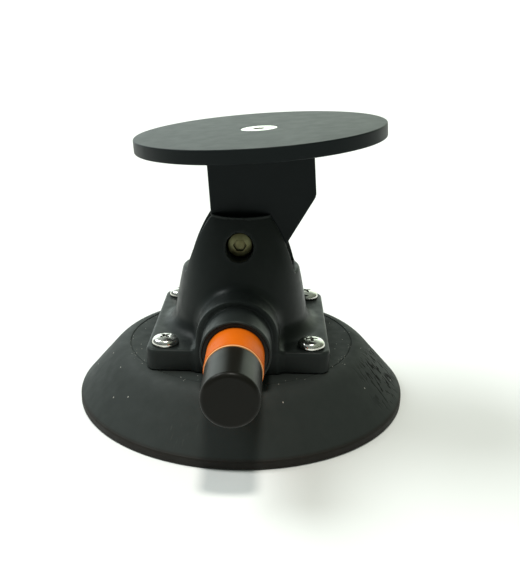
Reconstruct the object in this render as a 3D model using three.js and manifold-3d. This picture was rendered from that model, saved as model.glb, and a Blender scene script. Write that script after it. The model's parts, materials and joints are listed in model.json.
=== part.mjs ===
// A hand-pumped vacuum mounting cup: a rubber pad, a moulded pump housing bolted on top of it,
// a spring-loaded plunger with an indicator band, and a round plate on a tilting bracket.
//
// Millimetres, +Z up. The plunger points along -Y and the bracket tilts about the Y axis.
// Shapes are drawn about the pad's own axis; the last group moves the origin to the middle of
// the bounding box, at the sealing rim.

import * as THREE from 'three';
import { mergeVertices } from 'three/addons/utils/BufferGeometryUtils.js';
import Module from 'manifold-3d';

const wasm = await Module();
wasm.setup();

// ---------------------------------------------------------------- driving dimensions

const GAP = 0.3; // clearance between touching pieces
const ROUND = 32; // facets around a medium turned piece
const SMALL_ROUND = 16; // facets around a hole or a small fastener

const pad = {
  radius: 76.2, // a 6 inch cup
  facets: 56,
  rimHeight: 4.7,
  topZ: 25.4,
  flatRadius: 53.3, // where the flat top turns down into the skirt
  roofThickness: 4.2,
  sealInnerRadius: 71,
  portRadius: 6,
};

const flange = {
  halfWidth: 39.7,
  cornerRadius: 5,
  thickness: 9.5,
  edgeRound: 1.2,
};
flange.bottomZ = pad.topZ + GAP;
flange.topZ = flange.bottomZ + flange.thickness;

const tower = {
  footRadius: 36.9,
  footFillet: 6.5,
  topZ: 88.5,
  topRadius: 16.9,
  facets: 44,
};

const pivot = {
  z: 76,
  tiltDegrees: 4.3, // how far the bracket leans towards -X as it stands
  boreRadius: 3.5,
};

const slot = {
  halfWidth: 9.7,
  troughRadius: 19.1, // round floor that the bracket's lug swings in
  edgeDrop: 14, // from the pivot down to the floor's outer edge
  edgeReach: 26.6, // where that edge meets the side of the dome
};

const pump = {
  z: 41,
  collarRadius: 17.6,
  collarFront: 41,
  barrelRadius: 14.7,
  barrelFront: 56.8,
  boreRadius: 12.9,
  boreBack: 18,
  mouthRadius: 13.6,
  mouthDepth: 3.3,
};

const plunger = {
  bandRadius: 11.8,
  bandFront: 73.4,
  capRadius: 11.2,
  capFront: 97.8,
  capRound: 2,
  tubeRadius: 9.4,
  tubeWall: 2,
  pistonRadius: 12.4,
  pistonLength: 6,
};

const flangeScrew = {
  spacing: 63.5, // 2.5 inch square pattern
  headRadius: 5.9,
  headHeight: 3.4,
  shankRadius: 2.7,
  holeRadius: 3,
  tailZ: 12.6,
};

const backing = {
  radius: 50.6,
  thickness: 3,
  filterSeatRadius: 9,
};
backing.topZ = pad.topZ - pad.roofThickness - GAP;
backing.bottomZ = backing.topZ - backing.thickness;

const bracket = {
  halfThickness: 9.4,
  left: -12.4,
  right: 34.5,
  top: 41.7,
  chamferTop: 17.7,
  lugRadius: 18.6,
};
bracket.middle = (bracket.left + bracket.right) / 2;

const plate = {
  radius: 55.3,
  thickness: 5.7,
  edgeRound: 0.6,
  facets: 64,
};
plate.bottom = bracket.top + GAP;
plate.top = plate.bottom + plate.thickness;

const plateScrew = {
  headRadius: 8,
  shankRadius: 3.6,
  tail: 28.6,
  socketAcross: 4.76,
};

const pivotBolt = {
  headRadius: 5.9,
  headHeight: 3,
  seatY: 15, // floor of the recess that the head sits in
  recessRadius: 6.2,
  shankRadius: 3.15,
  tailY: 23,
  nutSeatY: 14.5,
  nutHeight: 7,
  nutRadius: 6.4, // across corners
};

const valve = {
  pocketRadius: 8,
  pocketHeight: 5.3,
  passageRadius: 2.4,
  seatThickness: 2.4,
};

// ---------------------------------------------------------------- materials

function finish(colour, roughness, metalness) {
  return new THREE.MeshStandardMaterial({ color: colour, roughness, metalness });
}

const material = {
  rubber: finish(0x272a28, 0.75, 0),
  moulding: finish(0x1b1c1c, 0.5, 0),
  orange: finish(0xe2571b, 0.45, 0),
  cap: finish(0x121313, 0.25, 0),
  coated: finish(0x2f3130, 0.5, 0.3),
  stainless: finish(0xc8c4ba, 0.25, 1),
  zinc: finish(0xa9aaa8, 0.4, 1),
  passivated: finish(0x9a9474, 0.45, 1),
  spring: finish(0x8d8f90, 0.35, 1),
  brass: finish(0xb9974d, 0.35, 1),
  nylon: finish(0xd8d5c8, 0.6, 0),
  felt: finish(0xcfc9b8, 0.95, 0),
};

// ---------------------------------------------------------------- solids

// A manifold-3d solid from a closed three.js geometry, with its faces turned outwards.
function solid(geometry) {
  geometry.deleteAttribute('normal');
  geometry.deleteAttribute('uv');
  const merged = mergeVertices(geometry, 1e-4);
  const points = merged.getAttribute('position').array;
  const corners = merged.getIndex().array;
  const triangles = [];
  let volume = 0;
  for (let i = 0; i < corners.length; i += 3) {
    const [a, b, c] = corners.slice(i, i + 3);
    if (a === b || b === c || c === a) continue;
    triangles.push([a, b, c]);
    const at = (n) => new THREE.Vector3().fromArray(points, 3 * n);
    volume += at(a).dot(at(b).cross(at(c)));
  }
  if (volume < 0) triangles.forEach((triangle) => triangle.reverse());
  return new wasm.Manifold(
    new wasm.Mesh({
      numProp: 3,
      vertProperties: new Float32Array(points),
      triVerts: new Uint32Array(triangles.flat()),
    }),
  );
}

// A solid of revolution about Z from [radius, height] points that close on themselves or on the axis.
function turned(profile, facets = ROUND) {
  const points = profile.map(([radius, height]) => new THREE.Vector2(radius, height));
  const [first, last] = [profile[0], profile.at(-1)];
  if (first[0] > 0 || last[0] > 0) points.push(points[0].clone());
  const geometry = new THREE.LatheGeometry(points, facets);
  geometry.rotateX(Math.PI / 2);
  return solid(geometry);
}

// The same, about the pump's axis: the profile's heights are distances forward, along -Y.
function turnedForward(profile, facets = ROUND) {
  return forward(turned(profile, facets));
}

function forward(shape) {
  return shape.rotate([90, 0, 0]).translate([0, 0, pump.z]);
}

function rod(radius, from, to, facets = SMALL_ROUND) {
  return turned([[0, from], [radius, from], [radius, to], [0, to]], facets);
}

// A rod along +Y at the pivot's height.
function crossRod(radius, from, to, facets = SMALL_ROUND) {
  return rod(radius, from, to, facets).rotate([-90, 0, 0]).translate([0, 0, pivot.z]);
}

function block(low, high) {
  const size = high.map((value, i) => value - low[i]);
  const geometry = new THREE.BoxGeometry(...size);
  geometry.translate(...low.map((value, i) => value + size[i] / 2));
  return solid(geometry);
}

// A hexagonal prism about Z, measured across its corners.
function hexagon(radius, from, to) {
  return rod(radius, from, to, 6);
}

// Points along a quarter circle that joins two profile points through a given centre.
function quarterArc([centreR, centreZ], radius, startDegrees, endDegrees, steps) {
  return Array.from({ length: steps + 1 }, (_, i) => {
    const angle = THREE.MathUtils.degToRad(startDegrees + ((endDegrees - startDegrees) * i) / steps);
    return [centreR + radius * Math.cos(angle), centreZ + radius * Math.sin(angle)];
  });
}

function bezier(points, steps) {
  const curve = new THREE.CubicBezierCurve(...points.map(([x, y]) => new THREE.Vector2(x, y)));
  return curve.getPoints(steps).map((point) => [point.x, point.y]);
}

function piece(name, shape, look) {
  const { vertProperties, triVerts } = shape.getMesh();
  const geometry = new THREE.BufferGeometry();
  geometry.setAttribute('position', new THREE.BufferAttribute(vertProperties, 3));
  geometry.setIndex(new THREE.BufferAttribute(triVerts, 1));
  geometry.computeVertexNormals();
  const mesh = new THREE.Mesh(geometry, look);
  mesh.name = name;
  return mesh;
}

// The four fastener positions on the flange, named by the side they are on.
function flangePositions() {
  const half = flangeScrew.spacing / 2;
  return [
    ['front_left', -half, -half],
    ['front_right', half, -half],
    ['rear_left', -half, half],
    ['rear_right', half, half],
  ];
}

// ---------------------------------------------------------------- rubber pad

function rubberPad() {
  const shoulder = bezier([[pad.flatRadius, pad.topZ], [59, 24.6], [61.5, 19.8], [67.5, 13.4]], 4);
  const roofZ = pad.topZ - pad.roofThickness;
  const profile = [
    [pad.portRadius, pad.topZ],
    ...shoulder,
    [pad.radius - 0.5, pad.rimHeight],
    [pad.radius, pad.rimHeight - 0.7],
    [pad.radius, 0],
    [pad.sealInnerRadius, 0],
    [pad.sealInnerRadius - 0.8, 1.2],
    [56.5, 16.6],
    [52, 20.6],
    [50.8, roofZ],
    [pad.portRadius, roofZ],
  ];
  let shape = turned(profile, pad.facets);
  for (const [, x, y] of flangePositions()) {
    shape = shape.subtract(rod(flangeScrew.holeRadius, 15, 30).translate([x, y, 0]));
  }
  return piece('rubber_pad', shape, material.rubber);
}

// ---------------------------------------------------------------- pump housing

function roundedSquare(half, corner) {
  const outline = new THREE.Shape();
  const inner = half - corner;
  outline.absarc(inner, inner, corner, 0, Math.PI / 2);
  outline.absarc(-inner, inner, corner, Math.PI / 2, Math.PI);
  outline.absarc(-inner, -inner, corner, Math.PI, Math.PI * 1.5);
  outline.absarc(inner, -inner, corner, Math.PI * 1.5, Math.PI * 2);
  return outline;
}

function flangeSlab() {
  const geometry = new THREE.ExtrudeGeometry(
    roundedSquare(flange.halfWidth - flange.edgeRound, flange.cornerRadius - flange.edgeRound),
    {
      depth: flange.thickness,
      bevelThickness: flange.edgeRound,
      bevelSize: flange.edgeRound,
      bevelSegments: 1,
      curveSegments: 4,
    },
  );
  geometry.translate(0, 0, flange.bottomZ - flange.edgeRound);
  return solid(geometry);
}

function towerDome() {
  const { footRadius, footFillet, topZ, topRadius } = tower;
  const wallFoot = footRadius - footFillet;
  const filletTop = flange.topZ + footFillet;
  const fillet = quarterArc([footRadius, filletTop], footFillet, 270, 180, 3);
  const wall = bezier([[wallFoot, filletTop], [28.3, 54.5], [26, 71.5], [topRadius, topZ - 1.2]], 7);
  const profile = [
    [0, flange.bottomZ + 2],
    [footRadius, flange.bottomZ + 2],
    ...fillet,
    ...wall.slice(1),
    [topRadius - 0.7, topZ - 0.3],
    [topRadius - 1.9, topZ],
    [0, topZ],
  ];
  return turned(profile, tower.facets);
}

// The collar round the barrel, carried straight down to the base, and the barrel itself.
function pumpCollar() {
  const collar = turnedForward(
    [
      [0, 5],
      [pump.collarRadius, 5],
      [pump.collarRadius, pump.collarFront - 0.8],
      [pump.collarRadius - 0.8, pump.collarFront],
      [0, pump.collarFront],
    ],
    40,
  );
  const side = pump.collarRadius - 0.1;
  const skirt = block([-side, -pump.collarFront + 0.4, flange.bottomZ], [side, -10, pump.z]);
  const barrel = turnedForward(
    [
      [0, 30],
      [pump.barrelRadius, 30],
      [pump.barrelRadius, pump.barrelFront - 0.6],
      [pump.barrelRadius - 0.6, pump.barrelFront],
      [0, pump.barrelFront],
    ],
    40,
  );
  return collar.add(skirt).add(barrel);
}

function pumpBore() {
  const mouthBack = pump.barrelFront - pump.mouthDepth;
  return turnedForward([
    [0, pump.boreBack],
    [pump.boreRadius, pump.boreBack],
    [pump.boreRadius, mouthBack],
    [pump.mouthRadius, mouthBack],
    [pump.mouthRadius, pump.barrelFront + 5],
    [0, pump.barrelFront + 5],
  ]);
}

function airPassages() {
  const pocketTop = flange.bottomZ + valve.pocketHeight;
  const pocket = rod(valve.pocketRadius, flange.bottomZ - 2, pocketTop, 32);
  const riser = rod(valve.passageRadius, pocketTop - 1, pump.z + valve.passageRadius);
  const duct = forward(rod(valve.passageRadius - 0.3, 0, pump.boreBack + 1));
  return pocket.add(riser).add(duct);
}

// The opening between the ears: a round trough under the bracket's lug, and on each side a floor
// that rises tangent to it up to the dome's side, where the bracket's slanted flank comes to rest.
function bracketSlot() {
  const { halfWidth, troughRadius, edgeDrop, edgeReach } = slot;
  const [farX, top] = [45, tower.topZ + 5 - pivot.z];
  const toEdge = Math.atan2(-edgeDrop, edgeReach);
  const tangent = toEdge - Math.acos(troughRadius / Math.hypot(edgeReach, edgeDrop));
  const farZ = (farX - edgeReach) * Math.tan(tangent + Math.PI / 2) - edgeDrop;
  const outline = new THREE.Shape();
  outline.moveTo(farX, top);
  outline.lineTo(farX, farZ);
  outline.lineTo(troughRadius * Math.cos(tangent), troughRadius * Math.sin(tangent));
  outline.absarc(0, 0, troughRadius, tangent, -Math.PI - tangent, true);
  outline.lineTo(-farX, farZ);
  outline.lineTo(-farX, top);
  const geometry = new THREE.ExtrudeGeometry(outline, {
    depth: 2 * halfWidth,
    bevelEnabled: false,
    curveSegments: 6,
  });
  geometry.rotateX(Math.PI / 2);
  geometry.translate(0, halfWidth, pivot.z);
  return solid(geometry);
}

function pivotHoles() {
  const bore = crossRod(pivot.boreRadius, -40, 40);
  const headRecess = crossRod(pivotBolt.recessRadius, -40, -pivotBolt.seatY, 28);
  const nutPocket = crossRod(pivotBolt.nutRadius + GAP * 1.3, pivotBolt.nutSeatY, 40, 6);
  return bore.add(headRecess).add(nutPocket);
}

function pumpHousing() {
  const aboveBase = block([-90, -90, flange.bottomZ], [90, 90, 120]);
  let shape = flangeSlab().add(towerDome()).add(pumpCollar()).intersect(aboveBase);
  shape = shape.subtract(bracketSlot()).subtract(pumpBore()).subtract(airPassages());
  shape = shape.subtract(pivotHoles());
  for (const [, x, y] of flangePositions()) {
    shape = shape.subtract(rod(flangeScrew.holeRadius, 20, 45).translate([x, y, 0]));
  }
  return piece('pump_housing', shape, material.moulding);
}

// ---------------------------------------------------------------- base fasteners and air path

// A tapered cross for a cross-head driver, its top at z = 0.
function crossRecess(reach, depth) {
  const blades = [0, 90].map((turn) => {
    const geometry = new THREE.CylinderGeometry(reach, reach * 0.45, depth + 1, 4);
    geometry.rotateX(Math.PI / 2);
    geometry.rotateZ(Math.PI / 4);
    geometry.scale(1, 0.24, 1);
    geometry.translate(0, 0, 0.5 - depth / 2);
    return solid(geometry).rotate([0, 0, turn]);
  });
  return blades[0].add(blades[1]);
}

function flangeScrewShape() {
  const { headRadius, headHeight, shankRadius, tailZ } = flangeScrew;
  const seat = flange.topZ + GAP;
  const screw = turned(
    [
      [0, tailZ],
      [shankRadius - 0.6, tailZ],
      [shankRadius, tailZ + 0.8],
      [shankRadius, seat],
      [headRadius - 0.2, seat],
      [headRadius, seat + 0.9],
      [headRadius * 0.88, seat + headHeight * 0.66],
      [headRadius * 0.55, seat + headHeight * 0.94],
      [0, seat + headHeight],
    ],
    SMALL_ROUND,
  );
  return screw.subtract(crossRecess(2.7, 2.2).translate([0, 0, seat + headHeight]));
}

function flangeFasteners() {
  const nutTop = backing.bottomZ - GAP;
  const nut = hexagon(5.5, nutTop - 3.6, nutTop).subtract(rod(flangeScrew.holeRadius, 0, 30));
  const screw = flangeScrewShape();
  return flangePositions().flatMap(([side, x, y]) => [
    piece(`flange_screw_${side}`, screw.translate([x, y, 0]), material.stainless),
    piece(`flange_nut_${side}`, nut.translate([x, y, 0]), material.zinc),
  ]);
}

function backingPlate() {
  let shape = turned(
    [
      [backing.filterSeatRadius, backing.bottomZ],
      [backing.radius, backing.bottomZ],
      [backing.radius, backing.topZ],
      [backing.filterSeatRadius, backing.topZ],
    ],
    48,
  );
  for (const [, x, y] of flangePositions()) {
    shape = shape.subtract(rod(flangeScrew.holeRadius, 10, 30).translate([x, y, 0]));
  }
  return piece('backing_plate', shape, material.zinc);
}

function airFilter() {
  const radius = backing.filterSeatRadius - GAP;
  return piece('air_filter', rod(radius, backing.bottomZ + 0.3, backing.topZ - 0.3, 28), material.felt);
}

function valveSeat() {
  const bottom = flange.bottomZ + GAP;
  const top = bottom + valve.seatThickness;
  let shape = rod(valve.pocketRadius - GAP, bottom, top, 28).subtract(rod(1.4, bottom - 1, top + 1, 12));
  const vents = 6;
  for (let i = 0; i < vents; i += 1) {
    const angle = (2 * Math.PI * i) / vents;
    const vent = rod(0.9, bottom - 1, top + 1, 8);
    shape = shape.subtract(vent.translate([3.6 * Math.cos(angle), 3.6 * Math.sin(angle), 0]));
  }
  return piece('valve_seat', shape, material.nylon);
}

// A rubber mushroom: its cap covers the seat's vents and its bulb holds it in the seat.
function intakeValve() {
  const seatBottom = flange.bottomZ + GAP;
  const capZ = seatBottom + valve.seatThickness + GAP;
  const shape = turned(
    [
      [0, seatBottom - 1.4],
      [1.2, seatBottom - 1.4],
      [1.9, seatBottom - GAP],
      [1.1, seatBottom - GAP],
      [1.1, capZ],
      [5.2, capZ],
      [5, capZ + 0.6],
      [1.8, capZ + 1.4],
      [0, capZ + 1.4],
    ],
    SMALL_ROUND,
  );
  return piece('intake_valve', shape, material.rubber);
}

// ---------------------------------------------------------------- plunger

const glandBack = pump.barrelFront - pump.mouthDepth + GAP;
const pistonFront = glandBack - GAP;
const pistonBack = pistonFront - plunger.pistonLength;

function barrelGland() {
  const front = pump.barrelFront - 0.4;
  const shape = turnedForward([
    [plunger.bandRadius + GAP, glandBack],
    [pump.mouthRadius - GAP, glandBack],
    [pump.mouthRadius - GAP, front],
    [plunger.bandRadius + GAP + 0.5, front],
    [plunger.bandRadius + GAP, front - 0.5],
  ]);
  return piece('barrel_gland', shape, material.moulding);
}

// The tube that carries the band and the cap, moulded in one with the piston at its inner end.
function plungerBody() {
  const { tubeRadius, tubeWall, pistonRadius, capFront } = plunger;
  const tubeFront = capFront - 3.6;
  const grooveRadius = pistonRadius - 2.2;
  const shape = turnedForward([
    [0, pistonBack - 2],
    [6.6, pistonBack - 2],
    [6.6, pistonBack],
    [pistonRadius, pistonBack],
    [pistonRadius, pistonBack + 1.5],
    [grooveRadius, pistonBack + 1.5],
    [grooveRadius, pistonFront - 1.5],
    [pistonRadius, pistonFront - 1.5],
    [pistonRadius, pistonFront],
    [tubeRadius, pistonFront],
    [tubeRadius, tubeFront],
    [tubeRadius - tubeWall, tubeFront],
    [tubeRadius - tubeWall, pistonFront],
    [0, pistonFront],
  ], 32);
  return piece('plunger_body', shape, material.nylon);
}

function pistonSeal() {
  const inner = plunger.pistonRadius - 2.2 + GAP;
  const outer = pump.boreRadius - GAP;
  const [back, front] = [pistonBack + 1.5 + GAP, pistonFront - 1.5 - GAP];
  const shape = turnedForward([
    [inner, back],
    [inner + 0.6, back],
    [(inner + outer) / 2, back + 1.2],
    [outer - 0.6, back],
    [outer, back],
    [outer - 0.1, front],
    [inner, front],
  ], 32);
  return piece('piston_seal', shape, material.rubber);
}

function indicatorBand() {
  const inner = plunger.tubeRadius + GAP;
  const back = pistonFront + GAP;
  const shape = turnedForward([
    [inner, back],
    [plunger.bandRadius, back],
    [plunger.bandRadius, plunger.bandFront],
    [inner, plunger.bandFront],
  ]);
  return piece('indicator_band', shape, material.orange);
}

function plungerCap() {
  const { capRadius, capFront, capRound, tubeRadius, bandFront } = plunger;
  const back = bandFront + GAP;
  const roof = capFront - 3.3;
  const nose = quarterArc([capRadius - capRound, capFront - capRound], capRound, 0, 90, 3);
  const shape = turnedForward([
    [0, roof],
    [tubeRadius + GAP, roof],
    [tubeRadius + GAP, back],
    [capRadius, back],
    ...nose,
    [0, capFront],
  ]);
  return piece('plunger_cap', shape, material.cap);
}

class Helix extends THREE.Curve {
  constructor(radius, from, to, turns) {
    super();
    Object.assign(this, { radius, from, to, turns });
  }

  getPoint(t, target = new THREE.Vector3()) {
    const angle = 2 * Math.PI * this.turns * t;
    const height = THREE.MathUtils.lerp(this.from, this.to, t);
    return target.set(this.radius * Math.cos(angle), this.radius * Math.sin(angle), height);
  }
}

function returnSpring() {
  const wire = 0.7;
  const turns = 6;
  const path = new Helix(8.3, pump.boreBack + GAP + wire, pistonBack - GAP - wire, turns);
  const section = new THREE.Shape().absarc(0, 0, wire, 0, 2 * Math.PI);
  const geometry = new THREE.ExtrudeGeometry(section, {
    steps: turns * 12,
    curveSegments: 3,
    extrudePath: path,
  });
  return piece('return_spring', forward(solid(geometry)), material.spring);
}

// ---------------------------------------------------------------- pivot

function pivotFasteners() {
  const { headRadius, headHeight, seatY, shankRadius, tailY, nutSeatY, nutHeight, nutRadius } = pivotBolt;
  const headBase = -seatY - GAP;
  const headTop = headBase - headHeight;
  const socket = crossRod(2.3, headTop - 1, headTop + 2, 6);
  const bolt = turned(
    [
      [0, headTop],
      [headRadius * 0.5, headTop + 0.15],
      [headRadius * 0.85, headTop + 1.1],
      [headRadius, headBase - 0.6],
      [headRadius, headBase],
      [shankRadius, headBase],
      [shankRadius, tailY - 0.6],
      [shankRadius - 0.6, tailY],
      [0, tailY],
    ],
    24,
  )
    .rotate([-90, 0, 0])
    .translate([0, 0, pivot.z])
    .subtract(socket);
  const nutBack = nutSeatY + GAP;
  const nut = crossRod(nutRadius, nutBack, nutBack + nutHeight, 6).subtract(
    crossRod(shankRadius + GAP, 0, 40),
  );
  return [
    piece('pivot_bolt', bolt, material.passivated),
    piece('pivot_nut', nut, material.passivated),
  ];
}

// ---------------------------------------------------------------- bracket and plate
// These are drawn upright, with the pivot at their origin, and leaned by their group.

// The bracket seen from the front: a square-shouldered head, one slanted flank that runs
// tangent into a round lug about the pivot, and a straight flank on the other side.
function bracketOutline() {
  const { left, right, top, chamferTop, lugRadius } = bracket;
  const reach = Math.hypot(right, chamferTop);
  const tangentAngle = Math.atan2(chamferTop, right) - Math.acos(lugRadius / reach);
  const leftAngle = Math.PI + Math.asin(Math.sqrt(1 - (left / lugRadius) ** 2));
  const outline = new THREE.Shape();
  outline.moveTo(right, top);
  outline.lineTo(left, top);
  outline.absarc(0, 0, lugRadius, leftAngle, 2 * Math.PI + tangentAngle);
  outline.lineTo(right, chamferTop);
  outline.closePath();
  return outline;
}

function mountBracket() {
  const { halfThickness, middle, top } = bracket;
  const edge = 0.6;
  const geometry = new THREE.ExtrudeGeometry(bracketOutline(), {
    depth: 2 * (halfThickness - edge),
    bevelThickness: edge,
    bevelSize: edge,
    bevelOffset: -edge,
    bevelSegments: 1,
    curveSegments: 14,
  });
  geometry.rotateX(Math.PI / 2);
  geometry.translate(0, halfThickness - edge, 0);
  const bore = rod(pivot.boreRadius, -20, 20).rotate([90, 0, 0]);
  const insertHole = rod(5.6, plateScrew.tail - 1, top + 5, 24).translate([middle, 0, 0]);
  return piece('mount_bracket', solid(geometry).subtract(bore).subtract(insertHole), material.coated);
}

function threadInsert() {
  const [bottom, top] = [plateScrew.tail - 0.4, bracket.top - 0.2];
  const shape = turned(
    [
      [plateScrew.shankRadius + GAP, bottom],
      [5.3, bottom],
      [5.3, top],
      [plateScrew.shankRadius + GAP, top],
    ],
    24,
  );
  return piece('thread_insert', shape.translate([bracket.middle, 0, 0]), material.brass);
}

function mountPlate() {
  const { radius, bottom, top, edgeRound, facets } = plate;
  const holeRadius = plateScrew.shankRadius + 0.4;
  const sinkRadius = plateScrew.headRadius + 0.45;
  const shape = turned(
    [
      [holeRadius, bottom],
      [radius - edgeRound, bottom],
      [radius, bottom + edgeRound],
      [radius, top - edgeRound],
      [radius - edgeRound, top],
      [sinkRadius, top],
      [holeRadius, top - (sinkRadius - holeRadius)],
    ],
    facets,
  );
  return piece('mount_plate', shape.translate([bracket.middle, 0, 0]), material.coated);
}

function plateScrewPiece() {
  const { headRadius, shankRadius, tail, socketAcross } = plateScrew;
  const headTop = plate.top - 0.1;
  const screw = turned(
    [
      [0, tail],
      [shankRadius - 0.6, tail],
      [shankRadius, tail + 0.8],
      [shankRadius, headTop - (headRadius - shankRadius)],
      [headRadius, headTop],
      [0, headTop],
    ],
    28,
  );
  const socket = hexagon(socketAcross / Math.sqrt(3), headTop - 2.8, headTop + 1);
  return piece('plate_screw', screw.subtract(socket).translate([bracket.middle, 0, 0]), material.stainless);
}

// ---------------------------------------------------------------- assembly

function tiltingHead() {
  const head = new THREE.Group();
  head.add(mountBracket(), threadInsert(), mountPlate(), plateScrewPiece());
  head.position.z = pivot.z;
  head.rotation.y = THREE.MathUtils.degToRad(-pivot.tiltDegrees);
  return head;
}

function pumpPieces() {
  return [barrelGland(), plungerBody(), pistonSeal(), indicatorBand(), plungerCap(), returnSpring()];
}

const cup = new THREE.Group();
cup.add(rubberPad(), pumpHousing(), backingPlate(), airFilter(), valveSeat(), intakeValve());
cup.add(...flangeFasteners(), ...pumpPieces(), ...pivotFasteners(), tiltingHead());

// The plunger's cap is the front of the object and the pad's rim is its back.
cup.position.y = (plunger.capFront - pad.radius) / 2;

export default cup;
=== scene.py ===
"""A hand-pumped vacuum mounting cup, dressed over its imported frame.

Shapes are drawn in millimetres about the pad's axis, with z = 0 at the sealing rim and the pump
pointing along -Y, and are placed in the row frame, in metres, when their meshes are made.
Turned pieces are lathed. Moulded, drilled and threaded pieces are distance fields: functions that
are negative inside the piece, whose zero surface is meshed.
"""

import json
import math

import bpy
import numpy as np
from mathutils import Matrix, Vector


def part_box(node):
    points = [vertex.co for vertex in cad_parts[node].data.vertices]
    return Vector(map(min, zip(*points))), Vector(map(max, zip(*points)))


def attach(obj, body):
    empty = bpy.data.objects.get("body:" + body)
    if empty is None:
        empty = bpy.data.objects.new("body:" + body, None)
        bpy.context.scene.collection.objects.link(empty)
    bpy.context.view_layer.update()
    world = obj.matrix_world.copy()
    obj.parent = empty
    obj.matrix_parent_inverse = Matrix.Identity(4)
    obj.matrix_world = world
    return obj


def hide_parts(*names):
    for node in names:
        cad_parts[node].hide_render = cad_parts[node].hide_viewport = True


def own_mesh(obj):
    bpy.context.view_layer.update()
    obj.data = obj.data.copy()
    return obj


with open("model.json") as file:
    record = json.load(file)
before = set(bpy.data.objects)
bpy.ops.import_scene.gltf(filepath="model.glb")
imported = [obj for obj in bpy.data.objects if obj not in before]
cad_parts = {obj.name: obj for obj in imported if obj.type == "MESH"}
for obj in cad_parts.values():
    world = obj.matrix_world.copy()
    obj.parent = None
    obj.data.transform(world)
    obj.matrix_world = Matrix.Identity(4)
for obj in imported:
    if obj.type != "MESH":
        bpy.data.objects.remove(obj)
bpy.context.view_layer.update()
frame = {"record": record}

# ---- sizes, from the frame

MM = 0.001
DETAIL = 1.0
PAD_LOW, PAD_HIGH = (np.array(corner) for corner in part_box("rubber_pad"))
AXIS = np.array([(PAD_LOW[0] + PAD_HIGH[0]) / 2, (PAD_LOW[1] + PAD_HIGH[1]) / 2, 0.0])


class Box:
    """A CAD node's corners in millimetres from the pad's axis."""

    def __init__(self, node):
        low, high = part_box(node)
        self.low = (np.array(low) - AXIS) / MM
        self.high = (np.array(high) - AXIS) / MM
        self.middle = (self.low + self.high) / 2
        self.half = (self.high - self.low) / 2
        self.back = -self.high[1]  # distances forward, along -Y
        self.front = -self.low[1]


HOUSING = Box("pump_housing")
BACKING = Box("backing_plate")
BAND = Box("indicator_band")
CAP = Box("plunger_cap")
BOLT = Box("pivot_bolt")
MOUNTS = {mount["name"]: mount for mount in frame["record"]["mounts"]}

PAD_RADIUS = (PAD_HIGH[0] - PAD_LOW[0]) / 2 / MM
PAD_TOP = PAD_HIGH[2] / MM
PUMP_Z = CAP.middle[2]
PIVOT_Z = BOLT.middle[2]
FLANGE_BOTTOM = HOUSING.low[2]
SCREW_HEAD_HEIGHT = 3.7  # from the flange to the top of a CAD screw
FLANGE_TOP = Box("flange_screw_front_left").high[2] - SCREW_HEAD_HEIGHT
FLANGE_HALF = HOUSING.half[0]
TOWER_TOP = HOUSING.high[2]
LEAN = math.atan2(-MOUNTS["plate_face"]["axis"][0], MOUNTS["plate_face"]["axis"][2])


class Place:
    """Where a piece drawn about its own origin goes: a turn and an offset in millimetres."""

    def __init__(self, turn=((1, 0, 0), (0, 1, 0), (0, 0, 1)), at=(0, 0, 0)):
        self.turn = np.array(turn, float)
        self.at = np.array(at, float)

    def points(self, points):
        return (points @ self.turn.T + self.at) * MM + AXIS

    def normals(self, normals):
        return normals @ self.turn.T


UPRIGHT = Place()
ALONG_PUMP = Place([(1, 0, 0), (0, 0, -1), (0, 1, 0)], (0, 0, PUMP_Z))  # local +Z points forward
ALONG_PIVOT = Place([(1, 0, 0), (0, 0, 1), (0, -1, 0)], (0, 0, PIVOT_Z))  # local +Z points back
LEANED = Place(
    [(math.cos(LEAN), 0, -math.sin(LEAN)), (0, 1, 0), (math.sin(LEAN), 0, math.cos(LEAN))],
    (0, 0, PIVOT_Z),
)

# ---- meshes


def make_piece(name, points, faces, place=UPRIGHT, normals=None):
    """A mesh object whose origin is the row frame's, so its object coordinates are the row's."""
    mesh = bpy.data.meshes.new(name)
    mesh.from_pydata(place.points(np.asarray(points, float)).tolist(), [], faces)
    mesh.validate()
    mesh.shade_smooth()
    piece = bpy.data.objects.new(name, mesh)
    bpy.context.scene.collection.objects.link(piece)
    if normals is None:
        soften(piece)
    else:
        mesh.normals_split_custom_set_from_vertices(place.normals(normals).tolist())
    return piece


def soften(piece, crease_degrees=42):
    """Smooth shading that keeps flat faces flat and real corners sharp."""
    piece.data.set_sharp_from_angle(angle=math.radians(crease_degrees))
    weighted = piece.modifiers.new("weighted_normals", "WEIGHTED_NORMAL")
    weighted.keep_sharp = True


def rounded(corners, steps=5):
    """An outline with each (u, v, radius) corner turned into an arc. The outline closes on itself."""
    corners = [(u, v, *rest, 0.0)[:3] for u, v, *rest in corners]
    outline = []
    for i, (u, v, radius) in enumerate(corners):
        here = np.array([u, v])
        before = np.array(corners[i - 1][:2]) - here
        after = np.array(corners[(i + 1) % len(corners)][:2]) - here
        if radius <= 0:
            outline.append((u, v))
            continue
        before /= np.linalg.norm(before)
        after /= np.linalg.norm(after)
        half = math.acos(np.clip(before @ after, -1, 1)) / 2
        centre = here + (before + after) / np.linalg.norm(before + after) * radius / math.sin(half)
        arms = [here + arm * radius / math.tan(half) - centre for arm in (before, after)]
        sweep = math.pi - 2 * half
        for step in range(steps + 1):
            share = step / steps
            arm = math.sin((1 - share) * sweep) * arms[0] + math.sin(share * sweep) * arms[1]
            outline.append(tuple(centre + arm / math.sin(sweep)))
    return outline


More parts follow.
